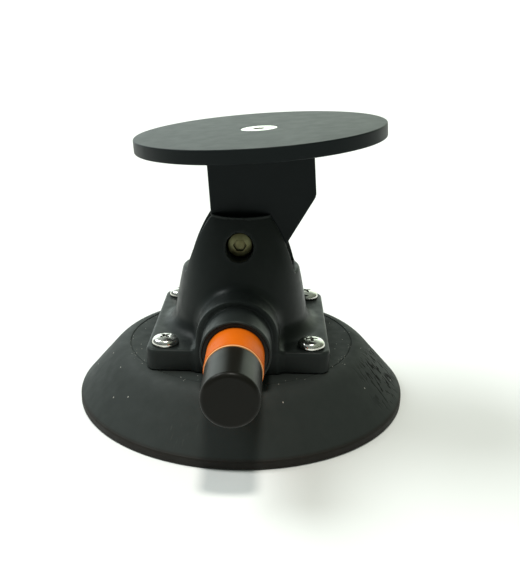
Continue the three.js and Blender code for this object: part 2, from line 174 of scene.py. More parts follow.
def lathe(name, outline, sides=128, place=UPRIGHT):
    """A closed outline of (radius, height) points, turned about the local Z axis."""
    angles = np.linspace(0, 2 * math.pi, sides, endpoint=False)
    points = []
    rings = []
    for radius, height in outline:
        start = len(points)
        if radius < 1e-6:
            points.append((0.0, 0.0, height))
            rings.append([start] * sides)
            continue
        points.extend((radius * math.cos(a), radius * math.sin(a), height) for a in angles)
        rings.append(list(range(start, start + sides)))
    faces = []
    for below, above in zip(rings, rings[1:] + rings[:1]):
        for i in range(sides):
            j = (i + 1) % sides
            face = list(dict.fromkeys((below[i], below[j], above[j], above[i])))
            if len(face) > 2:
                faces.append(face)
    piece = make_piece(name, points, faces, place)
    return outward(piece)


def outward(piece):
    """Turns the faces of a closed mesh so that they point out of it."""
    mesh = piece.data
    volume = sum(face.center.dot(face.normal) * face.area for face in mesh.polygons)
    if volume < 0:
        mesh.flip_normals()
    return piece


def drill(piece, radius, positions, low, high):
    """Cuts upright round holes, each at an (x, y) position, through a piece."""
    outline = [(0, low), (radius, low), (radius, high), (0, high)]
    piece.modifiers.clear()
    for x, y in positions:
        cutter = lathe("cutter", outline, 48, Place(at=(x, y, 0)))
        cutter.modifiers.clear()
        cut = piece.modifiers.new("hole", "BOOLEAN")
        cut.solver = "EXACT"
        cut.object = cutter
        bpy.context.view_layer.update()
        shape = piece.evaluated_get(bpy.context.evaluated_depsgraph_get())
        drilled = bpy.data.meshes.new_from_object(shape)
        piece.modifiers.clear()
        piece.data = drilled
        bpy.data.objects.remove(cutter)
    piece.data.name = piece.name
    soften(piece)
    return piece


# ---- distance fields


def both(a, b, radius=0.0):
    """Where two fields overlap, with the convex edge between them rounded."""
    if not radius:
        return np.maximum(a, b)
    corner = np.hypot(np.maximum(a + radius, 0), np.maximum(b + radius, 0))
    return np.minimum(np.maximum(a, b), -radius) + corner


def either(a, b, radius=0.0):
    """Two fields joined, with the concave edge between them filleted."""
    return -both(-a, -b, radius)


def without(a, b, radius=0.0):
    """The first field with the second cut out of it."""
    return both(a, -b, radius)


def between(value, low, high):
    return np.maximum(low - value, value - high)


def wedge(u, v, normal_a, normal_b):
    """Distance to a wedge with its point at the origin, from its two outward unit normals."""
    along_a = u * normal_a[0] + v * normal_a[1]
    along_b = u * normal_b[0] + v * normal_b[1]
    cosine = normal_a[0] * normal_b[0] + normal_a[1] * normal_b[1]
    past_point = (along_a > cosine * along_b) & (along_b > cosine * along_a)
    past_point &= (along_a > 0) | (along_b > 0)
    return np.where(past_point, np.hypot(u, v), np.maximum(along_a, along_b))


def hexagon(u, v, half_across):
    """Distance to a hexagon, from half its width across the flats."""
    flats = [abs(u * math.cos(a) + v * math.sin(a)) for a in (math.pi / 6, math.pi / 2, 5 * math.pi / 6)]
    return np.maximum(np.maximum(flats[0], flats[1]), flats[2]) - half_across


def thread(u, v, along, radius, pitch):
    """Distance to a threaded rod of that outer radius."""
    depth = 0.6 * pitch
    phase = along / pitch - np.arctan2(v, u) / (2 * math.pi)
    ridge = abs(2 * (phase - np.floor(phase)) - 1)
    return (np.hypot(u, v) - radius + depth * ridge) * 0.75


def slope(field, points, step=1e-3):
    """The field's gradient at each point."""
    columns = []
    for axis in range(3):
        offset = np.zeros(3)
        offset[axis] = step
        ahead = field(*(points + offset).T)
        behind = field(*(points - offset).T)
        columns.append((ahead - behind) / (2 * step))
    return np.stack(columns, axis=1)


def settle(field, points, reach, rounds=4):
    """Moves points on to the field's zero surface, and gives the surface's normals there."""
    start = points
    for _ in range(rounds):
        gradient = slope(field, points)
        steepness = np.maximum((gradient**2).sum(1), 0.2)
        step = gradient * (field(*points.T) / steepness)[:, None]
        points = start + np.clip(points - step - start, -reach, reach)
    gradient = slope(field, points)
    return points, gradient / np.maximum(np.linalg.norm(gradient, axis=1), 1e-6)[:, None]


CELL_CORNERS = np.array([(i, j, k) for i in (0, 1) for j in (0, 1) for k in (0, 1)])
CELL_EDGES = [
    (a, b)
    for a in range(8)
    for b in range(a + 1, 8)
    if abs(CELL_CORNERS[a] - CELL_CORNERS[b]).sum() == 1
]


def cell_points(values, cells):
    """For each cell that the surface crosses, the mean of the points where it crosses the edges."""
    corner_values = [values[tuple((cells + corner).T)] for corner in CELL_CORNERS]
    total = np.zeros((len(cells), 3))
    count = np.zeros((len(cells), 1))
    for a, b in CELL_EDGES:
        start, end = corner_values[a], corner_values[b]
        crossed = (start < 0) != (end < 0)
        share = np.where(crossed, start / np.where(crossed, start - end, 1), 0)[:, None]
        total += (CELL_CORNERS[a] + share * (CELL_CORNERS[b] - CELL_CORNERS[a])) * crossed[:, None]
        count += crossed[:, None]
    return cells + total / count


def cell_faces(inside, number):
    """A face across each grid edge that the surface crosses, wound so that it points out."""
    faces = []
    for axis in range(3):
        across = [(axis + 1) % 3, (axis + 2) % 3]
        start = np.take(inside, range(inside.shape[axis] - 1), axis)
        end = np.take(inside, range(1, inside.shape[axis]), axis)
        edges = np.argwhere(start != end)
        leaving = start[tuple(edges.T)]
        ring = []
        for back_a, back_b in ((0, 0), (1, 0), (1, 1), (0, 1)):
            cell = edges.copy()
            cell[:, across[0]] -= back_a
            cell[:, across[1]] -= back_b
            ring.append(number[tuple(cell.T)])
        quads = np.stack(ring, axis=1)
        faces.append(np.where(leaving[:, None], quads, quads[:, ::-1]))
    return np.concatenate(faces)


def meshed(name, field, low, high, pitch, place=UPRIGHT):
    """A piece from the zero surface of a field that lies between two corners."""
    pitch *= DETAIL
    low = np.array(low, float) - 1.7 * pitch
    counts = np.ceil((np.array(high, float) + 1.7 * pitch - low) / pitch).astype(int) + 1
    grid = np.ogrid[tuple(slice(0, count) for count in counts)]
    values = field(*(low[i] + pitch * grid[i] for i in range(3)))
    values = np.broadcast_to(values, counts)
    inside = values < 0
    filled = sum(
        inside[tuple(slice(c, c + n - 1) for c, n in zip(corner, counts))].astype(np.int8)
        for corner in CELL_CORNERS
    )
    cells = np.argwhere((filled > 0) & (filled < 8))
    number = np.full(counts - 1, -1)
    number[tuple(cells.T)] = np.arange(len(cells))
    points, normals = settle(field, low + pitch * cell_points(values, cells), 0.6 * pitch)
    faces = cell_faces(inside, number)
    return make_piece(name, points, faces.tolist(), place, normals)


# ---- pump housing

TOWER = {"foot_fillet": 6.5, "top_round": 0.6, "top_radius": 17.0, "top_dish": math.radians(22)}
TOWER_WALL = [(30.9, 39.2), (28.3, 54.5), (26.0, 71.5), (16.9, 87.3)]  # (radius, height)
FLANGE = {"corner": 5.0, "top_round": 1.3, "bottom_round": 0.5}
COLLAR = {"radius": 17.6, "front": 41.0, "round": 1.0, "fillet": 3.2}
BARREL = {"radius": 14.7, "round": 0.9, "bore": 12.9, "bore_back": 18.0}
BARREL_MOUTH = {"radius": 13.6, "depth": 3.3}
SLOT = {"half_width": 9.7, "trough": 19.1, "edge_drop": 14.0, "edge_reach": 26.6}
PIVOT_HOLE = {"bore": 3.5, "recess": 6.05, "recess_floor": 15.0, "pocket": 5.9, "pocket_floor": 14.5}
AIR_PATH = {"pocket": 8.0, "pocket_height": 5.3, "riser": 2.4, "duct": 2.1}
SCREW_HOLE = 3.0
SCREW_RADIUS = Box("flange_screw_front_left").half[0]
SCREW_TURNS = {"front_left": 45, "front_right": 8, "rear_left": 70, "rear_right": 25}  # degrees
SCREW_PLACES = {side: Box(f"flange_screw_{side}").middle[:2] for side in SCREW_TURNS}


def bezier(corners, steps=60):
    """Points along a cubic curve."""
    t = np.linspace(0, 1, steps)[:, None]
    a, b, c, d = (np.array(corner, float) for corner in corners)
    return (1 - t) ** 3 * a + 3 * t * (1 - t) ** 2 * b + 3 * t**2 * (1 - t) * c + t**3 * d


def flange_field(x, y, z):
    """A square slab with rounded corners."""
    inner = FLANGE_HALF - FLANGE["corner"]
    over_x = abs(x) - inner
    over_y = abs(y) - inner
    outside = np.hypot(np.maximum(over_x, 0), np.maximum(over_y, 0))
    outline = outside + np.minimum(np.maximum(over_x, over_y), 0) - FLANGE["corner"]
    block = both(outline, z - FLANGE_TOP, FLANGE["top_round"])
    return both(block, FLANGE_BOTTOM - z, FLANGE["bottom_round"])


def tower_field(x, y, z):
    """A turned dome whose top falls a little towards its axis."""
    wall = bezier(TOWER_WALL)
    radius = np.interp(z, wall[:, 1], wall[:, 0])
    steep = np.interp(z, wall[:, 1], np.gradient(wall[:, 0], wall[:, 1]))
    across = np.hypot(x, y)
    side = (across - radius) / np.sqrt(1 + np.minimum(steep**2, 1.5))
    dished = (TOWER["top_radius"] - across) * math.tan(TOWER["top_dish"])
    top = (z - TOWER_TOP + np.maximum(dished, 0)) * math.cos(TOWER["top_dish"])
    return both(both(side, top, TOWER["top_round"]), FLANGE_BOTTOM + 2 - z)


def collar_field(x, y, z):
    """An arch round the barrel whose sides run straight down to the flange."""
    arch = np.hypot(x, np.maximum(z - PUMP_Z, 0)) - COLLAR["radius"]
    ahead = both(arch, -y - COLLAR["front"], COLLAR["round"])
    return both(both(ahead, y + 5), FLANGE_BOTTOM - z, 0.5)


def barrel_field(x, y, z):
    round_barrel = np.hypot(x, z - PUMP_Z) - BARREL["radius"]
    return both(both(round_barrel, -y - HOUSING.front, BARREL["round"]), y + 30)


def slot_field(x, y, z):
    """The opening between the ears: a round trough with a sloping floor on each side."""
    reach = math.hypot(SLOT["edge_reach"], SLOT["edge_drop"])
    to_edge = math.atan2(-SLOT["edge_drop"], SLOT["edge_reach"])
    tangent = to_edge - math.acos(SLOT["trough"] / reach)
    normals = [(side * math.cos(tangent), math.sin(tangent)) for side in (1, -1)]
    floor = wedge(x, z - PIVOT_Z, *normals) - SLOT["trough"]
    return both(abs(y) - SLOT["half_width"], floor, 1.0)


def pump_bore_field(x, y, z):
    across = np.hypot(x, z - PUMP_Z)
    mouth = both(across - BARREL_MOUTH["radius"], HOUSING.front - BARREL_MOUTH["depth"] + y)
    bore = both(across - BARREL["bore"], BARREL["bore_back"] + y)
    return either(mouth, bore)


def air_passage_field(x, y, z):
    across = np.hypot(x, y)
    pocket = both(across - AIR_PATH["pocket"], z - FLANGE_BOTTOM - AIR_PATH["pocket_height"])
    riser = both(across - AIR_PATH["riser"], z - PUMP_Z - AIR_PATH["riser"])
    duct = both(np.hypot(x, z - PUMP_Z) - AIR_PATH["duct"], between(y, -BARREL["bore_back"] - 1, 0))
    return either(either(pocket, riser), duct)


def pivot_hole_field(x, y, z):
    across = np.hypot(x, z - PIVOT_Z)
    recess = both(across - PIVOT_HOLE["recess"], y + PIVOT_HOLE["recess_floor"])
    pocket = both(hexagon(x, z - PIVOT_Z, PIVOT_HOLE["pocket"]), PIVOT_HOLE["pocket_floor"] - y)
    return either(either(across - PIVOT_HOLE["bore"], recess), pocket)


def housing_field(x, y, z):
    shell = either(tower_field(x, y, z), flange_field(x, y, z), TOWER["foot_fillet"])
    shell = either(shell, collar_field(x, y, z), COLLAR["fillet"])
    shell = either(shell, barrel_field(x, y, z), 0.7)
    shell = without(shell, slot_field(x, y, z), 1.2)
    shell = without(shell, pump_bore_field(x, y, z), 0.15)
    shell = without(shell, air_passage_field(x, y, z), 0.3)
    shell = without(shell, pivot_hole_field(x, y, z), 0.25)
    for column, row in SCREW_PLACES.values():
        shell = without(shell, np.hypot(x - column, y - row) - SCREW_HOLE, 0.3)
    return shell


def build_housing():
    return meshed("housing_moulding", housing_field, HOUSING.low, HOUSING.high, 0.65)


# ---- rubber pad

PAD_SHOULDER = [(53.3, PAD_TOP), (59.0, 24.6), (61.5, 19.8), (67.5, 13.4)]  # (radius, height)
PAD_SKIRT_FOOT = (PAD_RADIUS - 0.8, 4.3)
PAD_GROOVE = 51.6


def pad_outline():
    """The pad's section: a grooved flat top, the falling skirt, the rim and the hollow beneath."""
    shoulder = [tuple(point) for point in bezier(PAD_SHOULDER, 26)]
    across_groove = ((0.0, 0.0), (0.2, -0.28), (0.45, -0.28), (0.65, 0.05), (1.0, 0.14))
    groove = [(PAD_GROOVE + out, PAD_TOP + rise) for out, rise in across_groove]
    start, end = np.array(PAD_SHOULDER[-1]), np.array(PAD_SKIRT_FOOT)
    skirt = [tuple(start + share * (end - start)) for share in np.linspace(0.12, 1, 9)]
    corners = [
        (PAD_RADIUS - 0.3, 3.8, 0.4), (PAD_RADIUS, 3.0, 0.4), (PAD_RADIUS, 0.0, 0.5), (71.0, 0.0, 0.4),
        (70.2, 1.2, 0.6), (56.5, 16.6, 6.0), (50.8, 21.2, 3.0), (6.0, 21.2, 0.6), (6.0, PAD_TOP, 0.4),
    ]
    rim = rounded(corners, 6)
    flat = [(radius, PAD_TOP) for radius in (20.0, 36.0, 48.0)]
    return flat + groove + shoulder + skirt + rim


def build_pad():
    pad = lathe("pad_rubber", pad_outline(), 256)
    drill(pad, SCREW_HOLE, SCREW_PLACES.values(), 15, 30)
    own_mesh(pad)
    return pad


# ---- fasteners

PAN_HEAD = {"height": 3.75, "crown": 1.5, "shank": 2.7, "length": 22.9}


def pan_head_screw_field(x, y, z):
    """A pan-head screw about its own axis, with z = 0 under the head."""
    across = np.hypot(x, y)
    crown = PAN_HEAD["height"] - PAN_HEAD["crown"] * (across / SCREW_RADIUS) ** 2
    head = both(both(across - SCREW_RADIUS, (z - crown) * 0.88, 1.3), -z, 0.3)
    shank = both(thread(x, y, z, PAN_HEAD["shank"], 0.8), between(z, -PAN_HEAD["length"], 1), 0.3)
    return without(either(head, shank), cross_recess_field(x, y, PAN_HEAD["height"] - z), 0.06)


def cross_recess_field(x, y, depth):
    """A tapered cross for a cross-head driver, from its depth below the top of the head."""
    arms = [
        np.maximum(abs(a) - 0.58 + 0.06 * depth, abs(b) - 2.9 + 0.65 * depth)
        for a, b in ((x, y), (y, x))
    ]
    pit = np.hypot(x, y) - 1.15 + 0.3 * depth
    return both(np.minimum(np.minimum(arms[0], arms[1]), pit), depth - 2.3)


def nut_field(half_across, height, bore, pitch):
    """A chamfered hexagon nut between z = 0 and its height."""

    def field(x, y, z):
        across = np.hypot(x, y)
        body = both(hexagon(x, y, half_across), between(z, 0, height), 0.12)
        chamfer = (across - half_across - 0.25 + (abs(z - height / 2) - height / 2) * 1.73) * 0.5
        return without(both(body, chamfer), thread(x, y, z, bore, pitch))

    return field


def spun(degrees, at):
    """An upright place, turned about its own vertical axis."""
    sine, cosine = math.sin(math.radians(degrees)), math.cos(math.radians(degrees))
    return Place([(cosine, -sine, 0), (sine, cosine, 0), (0, 0, 1)], at)


def build_flange_screw(side):
    place = spun(SCREW_TURNS[side], (*SCREW_PLACES[side], FLANGE_TOP))
    low = (-SCREW_RADIUS, -SCREW_RADIUS, -PAN_HEAD["length"] - 0.1)
    high = (SCREW_RADIUS, SCREW_RADIUS, PAN_HEAD["height"] + 0.05)
    return meshed(f"pan_head_screw_{side}", pan_head_screw_field, low, high, 0.18, place)


def build_flange_nut(side):
    box = Box(f"flange_nut_{side}")
    height = box.high[2] - box.low[2]
    place = spun(SCREW_TURNS[side], (*SCREW_PLACES[side], box.low[2]))
    field = nut_field(4.76, height, 2.75, 0.8)
    return meshed(f"hex_nut_{side}", field, (-5.5, -5.5, 0), (5.5, 5.5, height), 0.26, place)


def build_flange_fasteners():
    for side in SCREW_PLACES:
        dress(build_flange_screw(side), "housing", "stainless", f"flange_screw_{side}")
        dress(build_flange_nut(side), "housing", "zinc_steel", f"flange_nut_{side}")


BUTTON_HEAD = {"radius": 5.8, "height": 3.1, "crown": 0.8, "shank": 3.15, "threaded": 17, "socket": 2.5}
BOLT_LENGTH = BOLT.high[1] + PIVOT_HOLE["recess_floor"]


def pivot_bolt_field(x, y, z):
    """A button-head bolt about its own axis, with z = 0 under the head and the head below it."""
    across = np.hypot(x, y)
    crown = -BUTTON_HEAD["height"] + BUTTON_HEAD["crown"] * (across / BUTTON_HEAD["radius"]) ** 2
    head = both(both(across - BUTTON_HEAD["radius"], (crown - z) * 0.97, 0.6), z, 0.2)
    thread_start = BOLT_LENGTH - BUTTON_HEAD["threaded"]
    plain = both(across - BUTTON_HEAD["shank"], between(z, -1, thread_start + 1))
    rod = thread(x, y, z, BUTTON_HEAD["shank"], 1.0)
    threaded = both(rod, between(z, thread_start, BOLT_LENGTH), 0.3)
    bolt = either(head, either(plain, threaded))
    return without(bolt, both(hexagon(x, y, BUTTON_HEAD["socket"]), z + 1.2), 0.12)


def build_pivot_bolt():
    place = Place(ALONG_PIVOT.turn, (0, -PIVOT_HOLE["recess_floor"], PIVOT_Z))
    high = (6, 6, BOLT_LENGTH)
    return meshed("button_head_bolt", pivot_bolt_field, (-6, -6, -3.4), high, 0.24, place)


def build_pivot_nut():
    box = Box("pivot_nut")
    height = box.high[1] - box.low[1]
    place = Place(ALONG_PIVOT.turn, (0, box.low[1], PIVOT_Z))
    field = nut_field(5.5, height, 3.2, 1.0)
    return meshed("pivot_lock_nut", field, (-6.4, -6.4, 0), (6.4, 6.4, height), 0.3, place)


def build_pivot_fasteners():
    dress(build_pivot_bolt(), "housing", "passivated_steel", "pivot_bolt")
    dress(build_pivot_nut(), "housing", "passivated_steel", "pivot_nut")


# ---- tilting head

BRACKET = {
    "half_thickness": 9.4, "left": -12.4, "right": 34.5, "top": 41.7,
    "chamfer_top": 17.7, "lug": 18.6, "insert_floor": 27.6,
}
PLATE_RADIUS = 55.3
PLATE_THICKNESS = 5.7
PLATE_BOTTOM = BRACKET["top"] + 0.1
PLATE_TOP = PLATE_BOTTOM + PLATE_THICKNESS + 0.2
HEAD_MIDDLE = (BRACKET["left"] + BRACKET["right"]) / 2
PLATE_SCREW_TAIL = 28.6  # how far above the pivot the plate's screw ends


def bracket_field(u, y, v):
    """A block with a square head, a slanted flank and a round lug about the pivot."""
    right, chamfer_top, lug = BRACKET["right"], BRACKET["chamfer_top"], BRACKET["lug"]
    tangent = math.atan2(chamfer_top, right) - math.acos(lug / math.hypot(right, chamfer_top))
    slanted = (math.cos(tangent), math.sin(tangent))
    outline = wedge(u, v, slanted, (-1.0, 0.0)) - lug
    for side in (BRACKET["left"] - u, u - right, v - BRACKET["top"]):
        outline = both(outline, side, 0.8)
    block = both(outline, abs(y) - BRACKET["half_thickness"], 0.8)
    pivot_bore = np.hypot(u, v) - PIVOT_HOLE["bore"]
    insert_bore = both(np.hypot(u - HEAD_MIDDLE, y) - 5.4, BRACKET["insert_floor"] - v)
    return without(without(block, pivot_bore, 0.5), insert_bore, 0.3)


def build_bracket():
    half = BRACKET["half_thickness"]
    low = (-BRACKET["lug"], -half, -BRACKET["lug"])
    high = (BRACKET["right"], half, BRACKET["top"])
    return meshed("bracket_block", bracket_field, low, high, 0.6, LEANED)


def on_plate_axis(height=0.0):
    """A place on the plate's axis, at that height along it from the pivot."""
    return Place(LEANED.turn, LEANED.turn @ np.array([HEAD_MIDDLE, 0, height]) + LEANED.at)


def build_plate():
    sink, hole, edge = 8.5, 4.0, 0.55
    corners = [
        (hole, PLATE_BOTTOM, 0.2), (PLATE_RADIUS, PLATE_BOTTOM, edge), (PLATE_RADIUS, PLATE_TOP, edge),
        (sink, PLATE_TOP, 0.25), (hole, PLATE_TOP - (sink - hole), 0.2),
    ]
    return lathe("round_plate", rounded(corners, 4), 224, on_plate_axis())


FLAT_HEAD = {"radius": 8.1, "cone": 8.35, "shank": 3.6, "socket": 2.45}
FLAT_HEAD["length"] = PLATE_TOP - PLATE_SCREW_TAIL


def plate_screw_field(x, y, z):
    """A flat-head screw about its own axis, with z = 0 at its top."""
    across = np.hypot(x, y)
    cone = (across + z - FLAT_HEAD["cone"]) * 0.707
    head = both(both(cone, z, 0.12), across - FLAT_HEAD["radius"], 0.2)
    shank = both(thread(x, y, z, FLAT_HEAD["shank"], 1.0), between(z, -FLAT_HEAD["length"], -3), 0.3)
    socket = both(hexagon(x, y, FLAT_HEAD["socket"]), -2.8 - z)
    return without(either(head, shank), socket, 0.2)


def build_plate_screw():
    low = (-8.3, -8.3, -FLAT_HEAD["length"])
    place = on_plate_axis(PLATE_TOP - 0.05)
    return meshed("flat_head_screw", plate_screw_field, low, (8.3, 8.3, 0), 0.3, place)


def insert_field(x, y, v):
    """A brass insert with a straight knurl outside and a thread inside."""
    across = np.hypot(x, y)
    knurl = 0.22 * abs(np.sin(14 * np.arctan2(y, x)))
    sleeve = both(across - 5.35 + knurl, between(v, 28.2, 41.4), 0.3)
    waist = both(across - 4.9, between(v, 28.2, 41.4))
    keep = np.where(abs(v - 34.8) < 1.2, waist, sleeve)
    return without(keep, thread(x, y, v, 3.85, 1.0))


def build_insert():
    low, high = (-5.4, -5.4, 28), (5.4, 5.4, 41.6)
    return meshed("brass_insert", insert_field, low, high, 0.3, on_plate_axis())


def build_tilting_head():
    dress(build_bracket(), "tilt_head", "coated_aluminium", "mount_bracket")
    dress(build_plate(), "tilt_head", "coated_aluminium", "mount_plate")
    dress(build_plate_screw(), "tilt_head", "stainless", "plate_screw")
    dress(build_insert(), "tilt_head", "brass", "thread_insert")


# ---- plunger and pump parts

TUBE_RADIUS = 9.4
SLEEVE_BORE = TUBE_RADIUS + 0.1  # inside the cap and the band


def build_cap():
    radius = CAP.half[0]
    inner_end = CAP.front - 3.6
    corners = [
        (0, inner_end), (SLEEVE_BORE, inner_end, 0.3), (SLEEVE_BORE, CAP.back, 0.2),
        (radius + 0.1, CAP.back, 0.45), (radius, CAP.front, 2.1), (0, CAP.front - 0.15),
    ]
    return lathe("thumb_cap", rounded(corners, 8), 144, ALONG_PUMP)


def build_band():
    radius = BAND.half[0]
    corners = [
        (SLEEVE_BORE, BAND.back, 0.15), (radius, BAND.back, 0.25), (radius, BAND.front - 0.7, 0.15),
        (radius - 0.25, BAND.front - 0.7, 0.1), (radius - 0.25, BAND.front + 0.1, 0.25),
        (SLEEVE_BORE, BAND.front + 0.1, 0.15),
    ]
    return lathe("orange_sleeve", rounded(corners, 4), 144, ALONG_PUMP)


def build_gland():
    gland = Box("barrel_gland")
    inner = BAND.half[0] + 0.15
    outer = gland.half[0] + 0.2
    corners = [
        (inner, gland.back, 0.2), (outer, gland.back, 0.2), (outer, gland.front, 0.12),
        (inner, gland.front, 0.25),
    ]
    return lathe("guide_ring", rounded(corners, 5), 128, ALONG_PUMP)


def build_plunger_tube():
    body = Box("plunger_body")
    piston = body.half[0]
    groove = piston - 2.2
    spigot, bore = 6.6, 7.4
    piston_back = body.back + 2
    piston_front = piston_back + 6
    corners = [
        (0, body.back), (spigot, body.back, 0.4), (spigot, piston_back, 0.3),
        (piston, piston_back, 0.3), (piston, piston_back + 1.5, 0.2), (groove, piston_back + 1.5, 0.2),
        (groove, piston_front - 1.5, 0.2), (piston, piston_front - 1.5, 0.2),
        (piston, piston_front, 0.3), (TUBE_RADIUS, piston_front, 0.4), (TUBE_RADIUS, body.front, 0.3),
        (bore, body.front, 0.3), (bore, piston_front, 0.5), (0, piston_front),
    ]
    return lathe("plunger_tube", rounded(corners, 4), 112, ALONG_PUMP)


def build_piston_seal():
    seal = Box("piston_seal")
    outer = seal.half[0]
    inner = Box("plunger_body").half[0] - 1.9
    corners = [
        (inner, seal.back, 0.1), (inner + 0.6, seal.back, 0.2),
        ((inner + outer) / 2, seal.back + 1.2, 0.3), (outer - 0.5, seal.back, 0.15),
        (outer, seal.back, 0.15), (outer - 0.15, seal.front, 0.3), (inner, seal.front, 0.2),
    ]
    return lathe("cup_seal", rounded(corners, 4), 112, ALONG_PUMP)


def build_spring():
    """A round-wire coil with its end turns closed up."""
    box = Box("return_spring")
    wire = 0.7
    coil_radius = box.half[0] - wire
    turns, per_turn, section = 7.0, 56, 14
    t = np.linspace(0, 1, int(turns * per_turn) + 1)
    closed = 0.12
    rise = np.clip((t - closed) / (1 - 2 * closed), 0, 1)
    height = box.back + wire + (box.front - box.back - 2 * wire) * (0.06 * t + 0.94 * rise)
    angle = 2 * math.pi * turns * t
    centre = np.stack([coil_radius * np.cos(angle), coil_radius * np.sin(angle), height], 1)
    outwards = np.stack([np.cos(angle), np.sin(angle), np.zeros_like(angle)], 1)
    up = np.array([0, 0, 1.0])
    around = np.linspace(0, 2 * math.pi, section, endpoint=False)
    rings = [centre + wire * (math.cos(a) * outwards + math.sin(a) * up) for a in around]
    points = np.stack(rings, 1).reshape(-1, 3)
    faces = []
    last = (len(t) - 1) * section
    for start in range(0, last, section):
        end = start + section
        for i in range(section):
            j = (i + 1) % section
            faces.append((start + i, start + j, end + j, end + i))
    faces.append(tuple(range(section))[::-1])
    faces.append(tuple(range(last, last + section)))
    spring = outward(make_piece("coil_spring", points, faces, ALONG_PUMP))
    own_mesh(spring)
    return spring


def build_pump_parts():
    dress(build_cap(), "plunger", "cap_black", "plunger_cap")
    dress(build_band(), "plunger", "indicator_orange", "indicator_band")
    dress(build_plunger_tube(), "plunger", "nylon", "plunger_body")
    dress(build_piston_seal(), "plunger", "seal_rubber", "piston_seal")
    dress(build_gland(), "housing", "housing_moulding", "barrel_gland")
    dress(build_spring(), "housing", "spring_steel", "return_spring")


# ---- air path under the housing


def build_backing_plate():
    radius = BACKING.half[0]
    low, high = BACKING.low[2], BACKING.high[2]
    corners = [
        (9.0, low, 0.3), (13.0, low, 0.5), (13.6, low + 0.5, 0.5), (44.0, low + 0.5, 1.0),
        (45.4, low, 1.0), (radius, low, 1.2), (radius, high, 0.5), (9.0, high, 0.3),
    ]
    plate = lathe("clamp_disc", rounded(corners, 4), 160)
    return drill(plate, SCREW_HOLE, SCREW_PLACES.values(), low - 3, high + 3)


def build_filter():
    """A felt disc with a soft, uneven edge."""
    box = Box("air_filter")
    radius, low, high = box.half[0], box.low[2], box.high[2]
    outline = rounded([(0, low), (radius, low, 0.7), (radius, high, 0.7), (0, high)])
    rings = [(ring, low + 0.06 * math.sin(3 * ring)) for ring in (2.0, 3.5, 5.0, 6.5)]
    return lathe("felt_filter", outline[:1] + rings + outline[1:], 72)


VALVE_SEAT = Box("valve_seat")


def valve_seat_field(x, y, z):
    """A disc with a hole for the valve's stem and a ring of six vents."""
    across = np.hypot(x, y)
    thickness = between(z, VALVE_SEAT.low[2], VALVE_SEAT.high[2])
    disc = both(across - VALVE_SEAT.half[0], thickness, 0.4)
    disc = without(disc, across - 1.4, 0.15)
    for i in range(6):
        angle = math.pi * i / 3
        disc = without(disc, np.hypot(x - 3.6 * math.cos(angle), y - 3.6 * math.sin(angle)) - 0.9, 0.2)
    return disc


def build_valve_seat():
    return meshed("vented_seat", valve_seat_field, VALVE_SEAT.low, VALVE_SEAT.high, 0.22)


def build_intake_valve():
    box = Box("intake_valve")
    low, high = box.low[2], box.high[2]
    cap = high - 1.4
    corners = [
        (0, low), (1.2, low, 0.4), (1.9, cap - 3.0, 0.3), (1.1, cap - 3.0, 0.1), (1.1, cap, 0.2),
        (box.half[0], cap, 0.15), (box.half[0] - 0.2, cap + 0.6, 0.3), (1.8, high, 0.6), (0, high),
    ]
    return lathe("mushroom_valve", rounded(corners, 4), 64)


def build_air_path():
    dress(build_backing_plate(), "housing", "zinc_steel", "backing_plate")
    dress(build_filter(), "housing", "felt", "air_filter")
    dress(build_valve_seat(), "housing", "nylon", "valve_seat")
    dress(build_intake_valve(), "housing", "seal_rubber", "intake_valve")


# ---- materials


class Nodes:
    """Short calls for the usual nodes of one node tree."""

    def __init__(self, tree):
        self.tree = tree

    def node(self, kind, **settings):
        made = self.tree.nodes.new(kind)
        for key, value in settings.items():
            setattr(made, key, value)
        return made

    def link(self, source, target):
        self.tree.links.new(source, target)

    def mapped(self, value, from_low, from_high, to_low=0.0, to_high=1.0, smooth=False):
        made = self.node("ShaderNodeMapRange")
        made.interpolation_type = "SMOOTHSTEP" if smooth else "LINEAR"
        ends = {"From Min": from_low, "From Max": from_high, "To Min": to_low, "To Max": to_high}
        for socket, number in ends.items():
            made.inputs[socket].default_value = number
        self.link(value, made.inputs["Value"])
        return made.outputs["Result"]

    def maths(self, operation, a, b=0.0):
        made = self.node("ShaderNodeMath", operation=operation)
        for socket, value in zip(made.inputs, (a, b)):
            if isinstance(value, (int, float)):
                socket.default_value = value
            else:
                self.link(value, socket)
        return made.outputs[0]

    def mixed(self, share, a, b):
        """A colour between two others, each a tuple or an earlier colour."""
        made = self.node("ShaderNodeMix", data_type="RGBA")
        self.link(share, made.inputs[0])
        for socket, colour in ((made.inputs[6], a), (made.inputs[7], b)):
            if isinstance(colour, tuple):
                socket.default_value = (*colour, 1)
            else:
                self.link(colour, socket)
        return made.outputs[2]


